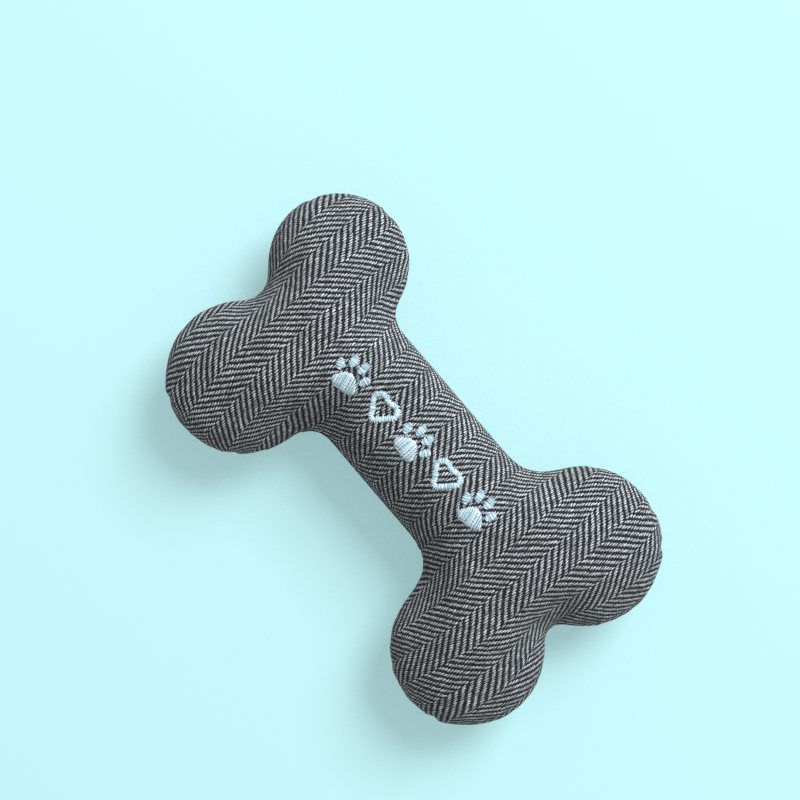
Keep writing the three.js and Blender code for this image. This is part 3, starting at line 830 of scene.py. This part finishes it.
rayon, rayon_tree = new_material("pale_blue_rayon")
rayon_ply = twisted(rayon_tree, rayon_turns, thread_plies)
rayon_blotch = noise(rayon_tree, own_place(rayon_tree), scale=900).outputs[0]
# The plies' ridges add a little painted shade in the grooves between them. The blotches and each
# strand's number vary the thread's tone at random.
painted_ply_shade = sums(rayon_tree, "MULTIPLY", rayon_ply, rayon_painted_ply_shade)
rayon_shade = sums(rayon_tree, "ADD", rayon_blotch, painted_ply_shade)
rayon_shade = sums(rayon_tree, "ADD", rayon_shade, kept_value(rayon_tree, "strand"))
rayon_tone = between(rayon_tree, rayon_shade, low=0.6, high=1.4)
finish(
    rayon_tree,
    blended(rayon_tree, rayon_tone, deep_rayon, pale_rayon),
    rayon_ply,
    strength=0.35,
    depth=0.05 * mm,
    sockets={"Roughness": 0.42, "Specular IOR Level": 0.55, "Sheen Weight": 0.15},
)


def new_tree(name, *inputs):
    tree = bpy.data.node_groups.new(name, "GeometryNodeTree")
    tree.interface.new_socket("Geometry", in_out="INPUT", socket_type="NodeSocketGeometry")
    tree.interface.new_socket("Geometry", in_out="OUTPUT", socket_type="NodeSocketGeometry")
    for label, kind, value in inputs:
        socket = tree.interface.new_socket(label, in_out="INPUT", socket_type="NodeSocket" + kind)
        if value is not None:
            socket.default_value = value
    return tree, tree.nodes.new("NodeGroupInput").outputs


def made_by(tree, base, name, values):
    """The plain mesh that a tree of Geometry Nodes makes of a base object, with some inputs set."""
    modifier = base.modifiers.new(tree.name, "NODES")
    modifier.node_group = tree
    for item in tree.interface.items_tree:
        if item.in_out == "INPUT" and item.name in values:
            modifier[item.identifier] = values[item.name]
    mesh = bpy.data.meshes.new_from_object(evaluated(base))
    mesh.name = name
    made = linked(name, mesh)
    bpy.data.objects.remove(base)
    return made


def stored(tree, geometry, name, value):
    sockets = {"Geometry": geometry, "Name": name, "Value": value}
    kind = "GeometryNodeStoreNamedAttribute"
    return add_node(tree, kind, sockets, data_type="FLOAT", domain="POINT").outputs[0]


def thread_along(tree, given, line):
    """Ends a tree with a round thread along its lines, which keeps its run and its way round."""
    run = add_node(tree, "GeometryNodeSplineParameter").outputs["Length"]
    way_round = add_node(tree, "GeometryNodeSplineParameter").outputs["Factor"]
    sockets = {"Resolution": given["Sides"], "Radius": given["Thread radius"]}
    circle = add_node(tree, "GeometryNodeCurvePrimitiveCircle", sockets).outputs[0]
    curve, profile = stored(tree, line, "run", run), stored(tree, circle, "round", way_round)
    sockets = {"Curve": curve, "Profile Curve": profile, "Fill Caps": True}
    tube = add_node(tree, "GeometryNodeCurveToMesh", sockets).outputs[0]
    smooth = add_node(tree, "GeometryNodeSetShadeSmooth", {"Geometry": tube}).outputs[0]
    real = add_node(tree, "GeometryNodeRealizeInstances", {"Geometry": smooth}).outputs[0]
    sockets = {"Geometry": real, "Material": given["Thread"]}
    coloured = add_node(tree, "GeometryNodeSetMaterial", sockets).outputs[0]
    add_node(tree, "NodeGroupOutput", {"Geometry": coloured})


satin, satin_in = new_tree(
    "satin_stitch",
    ("Cloth", "Object", None),
    ("Thread radius", "Float", rayon_radius * mm),
    ("Sink", "Float", rayon_sink * mm),
    ("Steps", "Int", thread_steps),
    ("Sides", "Int", thread_sides),
    ("Thread", "Material", None),
)
strands = add_node(satin, "GeometryNodeMeshToCurve", {"Mesh": satin_in["Geometry"]}).outputs[0]
stepped = add_node(
    satin, "GeometryNodeResampleCurve", {"Curve": strands, "Count": satin_in["Steps"]}
).outputs[0]
cloth_below = add_node(
    satin, "GeometryNodeObjectInfo", {"Object": satin_in["Cloth"]}, transform_space="RELATIVE"
)
here = add_node(satin, "GeometryNodeInputPosition").outputs[0]
landed = add_node(
    satin,
    "GeometryNodeRaycast",
    {
        "Target Geometry": cloth_below.outputs["Geometry"],
        "Source Position": vector_sums(satin, "ADD", here, (0, 0, well_clear)),
        "Ray Direction": (0, 0, -1),
        "Ray Length": 2 * well_clear,
    },
)
share_along = add_node(satin, "GeometryNodeSplineParameter").outputs["Factor"]
off_middle = sums(satin, "SUBTRACT", sums(satin, "MULTIPLY", share_along, 2), 1)
fallen = sums(satin, "POWER", sums(satin, "ABSOLUTE", off_middle), 3)
arch = sums(satin, "SQRT", sums(satin, "MAXIMUM", sums(satin, "SUBTRACT", 1, fallen), 0))
stitch_rise = add_node(
    satin, "GeometryNodeInputNamedAttribute", {"Name": "rise"}, data_type="FLOAT"
).outputs[0]
full_rise = sums(satin, "ADD", stitch_rise, satin_in["Sink"])
lift = sums(satin, "SUBTRACT", sums(satin, "MULTIPLY", arch, full_rise), satin_in["Sink"])
lifted = vector_sums(satin, "ADD", landed.outputs["Hit Position"], joined(satin, 0.0, 0.0, lift))
laid = add_node(satin, "GeometryNodeSetPosition", {"Geometry": stepped, "Position": lifted})
thread_along(satin, satin_in, laid.outputs[0])


def stitch_plan(name, stitches, rises):
    """One edge for each stitch, with its height and a number that sets its shade."""
    plan = bpy.data.meshes.new(name)
    ends = [(x * mm, y * mm, 0) for x, y in np.array(stitches).reshape(-1, 2)]
    plan.from_pydata(ends, [(i, i + 1) for i in range(0, len(ends), 2)], [])
    rise = plan.attributes.new("rise", "FLOAT", "POINT")
    rise.data.foreach_set("value", np.repeat(rises, 2) * mm)
    strand = plan.attributes.new("strand", "FLOAT", "POINT")
    strand_shades = np.random.default_rng(strand_seed).random(len(rises))
    strand.data.foreach_set("value", np.repeat(strand_shades, 2))
    return linked(name, plan)


def across_shape(outline, angle, pitch, inset=0.0):
    """Stitches that fill a closed outline, side by side along the given angle's normal."""
    turned = leant(outline, -angle)
    low, high = turned[:, 0].min() + inset, turned[:, 0].max() - inset
    count = max(int(round((high - low) / pitch)), 2)
    made = []
    for x in low + (np.arange(count) + 0.5) * (high - low) / count:
        ahead = np.roll(turned, -1, 0)
        crossing = (turned[:, 0] > x) != (ahead[:, 0] > x)
        a, b = turned[crossing], ahead[crossing]
        ys = a[:, 1] + (b[:, 1] - a[:, 1]) * (x - a[:, 0]) / (b[:, 0] - a[:, 0])
        made.append(leant([(x, ys.min() + inset), (x, ys.max() - inset)], angle))
    return made


def filled(outline, angle, rise):
    under = across_shape(outline, angle + math.pi / 2, underlay_pitch, underlay_inset)
    over = across_shape(outline, angle, stitch_pitch)
    return under + over, [rise * underlay_rise_share] * len(under) + [rise] * len(over)


def sew(name, stitches, rises, nodes):
    """Lays one motif's stitches on the front panel, each end a little off its place."""
    stitches = np.array(stitches)
    stitches += np.random.default_rng(len(stitches)).normal(0, end_scatter, stitches.shape)
    plan = stitch_plan(name + "_plan", stitches, rises)
    made = made_by(satin, plan, name, {"Cloth": front_panel, "Thread": rayon})
    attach(made, "root")
    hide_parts(*nodes)


turn_angles = np.linspace(0, 2 * math.pi, outline_steps, endpoint=False)


def pad_outline():
    swell = 1 + pad_trefoil * np.cos(3 * (turn_angles - math.pi / 2))
    beside = pad_half[0] * swell * np.cos(turn_angles)
    return np.stack([beside, pad_half[1] * swell * np.sin(turn_angles) - pad_drop], 1)


def toe_outline(side, rise, half_width, half_height, lean):
    oval = np.stack([half_width * np.cos(turn_angles), half_height * np.sin(turn_angles)], 1)
    return leant(oval, math.radians(lean)) + (side, rise)


def sew_paw(name, along, tilt):
    shapes = [(pad_outline(), pad_lean, pad_rise)]
    shapes += [(toe_outline(*toe), math.radians(toe[4] + 90), toe_rise) for toe in toes]
    stitches, rises = [], []
    for outline, angle, rise in shapes:
        placed = on_row(leant(outline, tilt), along)
        more, more_rises = filled(placed, angle + tilt + row_tilt, rise)
        stitches += more
        rises += more_rises
    nodes = [name + "_pad"] + [f"{name}_toe_{i + 1}" for i in range(len(toes))]
    sew("satin_" + name, stitches, rises, nodes)


def heart_line():
    reach, rise, radius = heart_lobe
    drop, tip = heart_tip
    hollow = rise + math.sqrt((radius + heart_hollow) ** 2 - reach**2)
    lean = math.atan2(hollow - rise, -reach)
    tall = rise + drop
    side = math.atan2(tall, reach) - math.acos((radius - tip) / math.hypot(reach, tall))
    arcs = (
        ((reach, rise), radius, side, lean),
        ((0, hollow), heart_hollow, lean - math.pi, -lean),
        ((-reach, rise), radius, math.pi - lean, math.pi - side),
        ((0, -drop), tip, math.pi - side, 2 * math.pi + side),
    )
    return np.array([
        (x + r * math.cos(angle), y + r * math.sin(angle))
        for (x, y), r, start, end in arcs
        for angle in np.linspace(start, end, heart_arc_steps)
    ])


def sew_heart(name, along):
    line = heart_line()
    count = steps_a_stitch * round(perimeter(line) / stitch_pitch)
    middle = evenly(line, count)
    side = -inward(middle)
    half = satin_width / 2
    inner, outer = (on_row(middle + side * reach, along) for reach in (-half, half))
    over = [(inner[i], outer[(i + 1) % count]) for i in range(0, count, steps_a_stitch)]
    rails = [on_row(middle + side * reach, along) for reach in rail_places]
    under = [
        (rail[i], rail[(i + rail_stitch_steps) % count])
        for rail in rails
        for i in range(0, count, rail_stitch_pitch)
    ]
    rises = [heart_under_rise] * len(under) + [heart_rise] * len(over)
    sew("satin_" + name, under + over, rises, [name])


sew_paw("paw_left", -2 * motif_spacing, paw_tilt)
sew_heart("heart_left", -motif_spacing)
sew_paw("paw_middle", 0, -paw_tilt)
sew_heart("heart_right", motif_spacing)
sew_paw("paw_right", 2 * motif_spacing, paw_tilt)


# Lockstitch seam
# Two-ply polyester thread, a needle thread on the front panel's allowance and a bobbin thread on
# the back panel's, locked through both at each stitch. The turning gap in the shaft is left open.
polyester_radius = 0.2
polyester_turns = 1400
lock_pitch = 2.8
lock_dip = 0.45
lock_inset = 1.6
lock_stand = 0.3
lock_steps = 6
gap_half = 31.0
polyester_lit_ridge = (0.05, 0.054, 0.062, 1)
polyester_groove_shade = (0.012, 0.013, 0.016, 1)

polyester, polyester_tree = new_material("dark_polyester")
# The thread's colour follows its plies' relief: painted shade in the grooves between them and a
# painted lighter tone on their ridges.
polyester_ply = twisted(polyester_tree, polyester_turns, thread_plies)
polyester_painted_ply_shade = between(polyester_tree, polyester_ply, low=-1, high=1)
finish(
    polyester_tree,
    blended(polyester_tree, polyester_painted_ply_shade, polyester_groove_shade, polyester_lit_ridge),
    polyester_ply,
    strength=0.5,
    depth=0.08 * mm,
    sockets={"Roughness": 0.55, "Sheen Weight": 0.1},
)

lock, lock_in = new_tree(
    "lockstitch",
    ("Thread radius", "Float", polyester_radius * mm),
    ("Stitch length", "Float", lock_pitch * mm),
    ("Dip", "Float", lock_dip * mm),
    ("Sides", "Int", thread_sides),
    ("Thread", "Material", None),
)
seam_curve = add_node(lock, "GeometryNodeMeshToCurve", {"Mesh": lock_in["Geometry"]})
seam_step = sums(lock, "DIVIDE", lock_in["Stitch length"], lock_steps)
seam_sockets = {"Curve": seam_curve.outputs[0], "Length": seam_step}
seam_steps = add_node(lock, "GeometryNodeResampleCurve", seam_sockets, mode="LENGTH").outputs[0]
seam_run = add_node(lock, "GeometryNodeSplineParameter").outputs["Length"]
seam_phase = sums(lock, "DIVIDE", seam_run, lock_in["Stitch length"])
seam_wave = sums(lock, "SINE", sums(lock, "MULTIPLY", seam_phase, math.pi))
stitch_wave = sums(lock, "SUBTRACT", sums(lock, "ABSOLUTE", seam_wave), 1)
stitch_depth = sums(lock, "MULTIPLY", stitch_wave, lock_in["Dip"])
seam_here = add_node(lock, "GeometryNodeInputPosition").outputs[0]
above_seam = sums(lock, "SUBTRACT", split(lock, seam_here)[2], seam_height)
seam_drop = sums(lock, "MULTIPLY", stitch_depth, sums(lock, "SIGN", above_seam))
seam_sockets = {"Geometry": seam_steps, "Offset": joined(lock, 0.0, 0.0, seam_drop)}
thread_along(lock, lock_in, add_node(lock, "GeometryNodeSetPosition", seam_sockets).outputs[0])


def sew_seam(name, node, line, sizes=()):
    """Lays a sewing thread along a line, with the lockstitch's sizes where no others are given."""
    plan = bpy.data.meshes.new(name + "_plan")
    plan.from_pydata((line * mm).tolist(), [(i, i + 1) for i in range(len(line) - 1)], [])
    base = linked(name + "_plan", plan)
    thread = made_by(lock, base, name, dict(sizes, Thread=polyester))
    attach(thread, "root")
    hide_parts(node)


seam_place = shape[:edge_count]
in_gap = (np.abs(seam_place[:, 0]) < gap_half) & (seam_place[:, 1] < 0)
after_gap = int(np.flatnonzero(in_gap)[-1]) + 1
sewn_order = [(after_gap + i) % edge_count for i in range(edge_count - int(in_gap.sum()))]
for node, side in (("seam_needle_thread", 1), ("seam_bobbin_thread", -1)):
    line = seam_place[sewn_order].copy()
    line[:, :2] += seam_inward[sewn_order] * (fold_depth + lock_inset)
    line[:, 2] = resting + side * (allowance_gap + allowance_share * cloth_thickness + lock_stand)
    sew_seam("stitched_" + node, node, line)


# Squeaker
# A blown disc of soft plastic with a moulded whistle pressed into its neck. The whistle's bore
# holds a half-round reed block and a thin reed. It is buried in the filling.
grain_fineness = 9
grain_depth = 0.05 * mm


def moulded(name, deep, pale, scale, strength, **sockets):
    """A plastic that is a little cloudy, with a fine grain on its surface."""
    plastic, tree = new_material(name)
    place = own_place(tree)
    cloud = between(tree, noise(tree, place, scale, detail=3.0).outputs[0], low=0.3, high=0.7)
    grain = noise(tree, place, scale * grain_fineness).outputs[0]
    finish(tree, blended(tree, cloud, deep, pale), grain, strength, grain_depth, sockets)
    return plastic


blown_plastic = moulded(
    "blown_plastic",
    deep=(0.72, 0.69, 0.6, 1),
    pale=(0.84, 0.82, 0.74, 1),
    scale=140,
    strength=0.35,
    **{"Roughness": 0.42, "Subsurface Weight": 0.25, "Subsurface Scale": 2 * mm},
)
moulded_plastic = moulded(
    "moulded_plastic",
    deep=(0.66, 0.7, 0.73, 1),
    pale=(0.76, 0.79, 0.81, 1),
    scale=260,
    strength=0.15,
    Roughness=0.3,
)
reed_film = moulded(
    "reed_film",
    deep=(0.6, 0.56, 0.42, 1),
    pale=(0.68, 0.65, 0.52, 1),
    scale=400,
    strength=0.1,
    Roughness=0.38,
)
squeaker_finishes = {
    "squeaker_bulb": blown_plastic,
    "squeaker_whistle": moulded_plastic,
    "squeaker_reed_block": moulded_plastic,
    "squeaker_reed": reed_film,
}
for name, plastic in squeaker_finishes.items():
    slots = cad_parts[name].data.materials
    slots.clear()
    slots.append(plastic)


# Fibre filling
# Loose polyester fibre, pushed in by the handful: a wad over and a wad under the squeaker, and
# one in each knob. Each is lumpy, and lies just inside the cloth that it fills.
wad_cell = 1.7
wad_clear = 0.35
wad_lump_width = 7
wad_lump_rise = 2.4
least_slope = 0.35
fibre_squeeze = (1, 9, 5)
pale_fibre = (0.93, 0.92, 0.89, 1)
deep_fibre = (0.55, 0.54, 0.5, 1)

fibre, fibre_tree = new_material("polyester_fibre")
fibre_place = wandered(fibre_tree, own_place(fibre_tree), scale=160, reach=9 * mm)
fibre_place = wandered(fibre_tree, fibre_place, scale=700, reach=2.2 * mm)
fibre_long = add_node(
    fibre_tree, "ShaderNodeMapping", {"Vector": fibre_place, "Scale": fibre_squeeze}
).outputs[0]
fibre_curls = noise(fibre_tree, fibre_long, scale=420, detail=5.0, roughness=0.7).outputs[0]
fibre_tone = between(fibre_tree, fibre_curls, low=0.36, high=0.64)
finish(
    fibre_tree,
    blended(fibre_tree, fibre_tone, deep_fibre, pale_fibre),
    fibre_curls,
    strength=1.0,
    depth=0.6 * mm,
    sockets={"Roughness": 1.0, "Sheen Weight": 0.4},
)


def roof(skin, x, y, way):
    """The height just inside a panel's cloth, for a ray that comes from outside it."""
    hit, slope, _, _ = skin.ray_cast(Vector((x, y, -way * well_clear)), Vector((0, 0, way)))
    if hit is None:
        return seam_height
    return hit.z + way * (cloth_thickness + wad_clear) * mm / max(abs(slope.z), least_slope)


back_skin = skin_tree(back_panel)
wad_lumps = bpy.data.textures.new("wad_lumps", "CLOUDS")
wad_lumps.noise_scale = wad_lump_width * mm
wad_lumps.noise_depth = 2
for name in [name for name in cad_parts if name.startswith("filling_")]:
    wad = linked(name.replace("filling", "wad"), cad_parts[name].data.copy())
    voxels = wad.modifiers.new("voxels", "REMESH")
    voxels.mode = "VOXEL"
    voxels.voxel_size = wad_cell * mm
    pushed = wad.modifiers.new("lumps", "DISPLACE")
    pushed.texture = wad_lumps
    pushed.texture_coords = "LOCAL"
    pushed.strength = wad_lump_rise * mm
    pushed.mid_level = 0.85
    lumpy = bpy.data.meshes.new_from_object(evaluated(wad))
    wad.modifiers.clear()
    wad.data = lumpy
    for vertex in lumpy.vertices:
        x, y, z = vertex.co
        top = roof(front_skin, x, y, -1)
        bottom = roof(back_skin, x, y, 1)
        middle = (top + bottom) / 2
        vertex.co.z = min(max(z, min(bottom, middle)), max(top, middle))
    lumpy.materials.clear()
    lumpy.materials.append(fibre)
    lumpy.polygons.foreach_set("use_smooth", [True] * len(lumpy.polygons))
    lumpy.update()
    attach(wad, "root")
    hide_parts(name)


# Closing stitches
# The turning gap is drawn shut by hand with one slanting thread that runs in the seam's valley
# and takes up a little cloth on each side of it.
closing_pitch = 3.2
closing_rise = 0.9
closing_stand = 0.12
gap_line = seam_place[np.flatnonzero(in_gap)[0]:after_gap]
gap_run = run_along(gap_line[:, :2])
half_stitches = 2 * int(gap_run[-1] / closing_pitch)
closing = at_runs(gap_line, gap_run, np.linspace(0, gap_run[-1], half_stitches + 1))
closing[:, 1] -= closing_stand
closing[:, 2] += np.where(np.arange(half_stitches + 1) % 2, 1, -1) * closing_rise
closing_sizes = {"Stitch length": closing_pitch * mm, "Dip": 0.0}
sew_seam("stitched_closing_thread", "closing_thread", closing, closing_sizes)
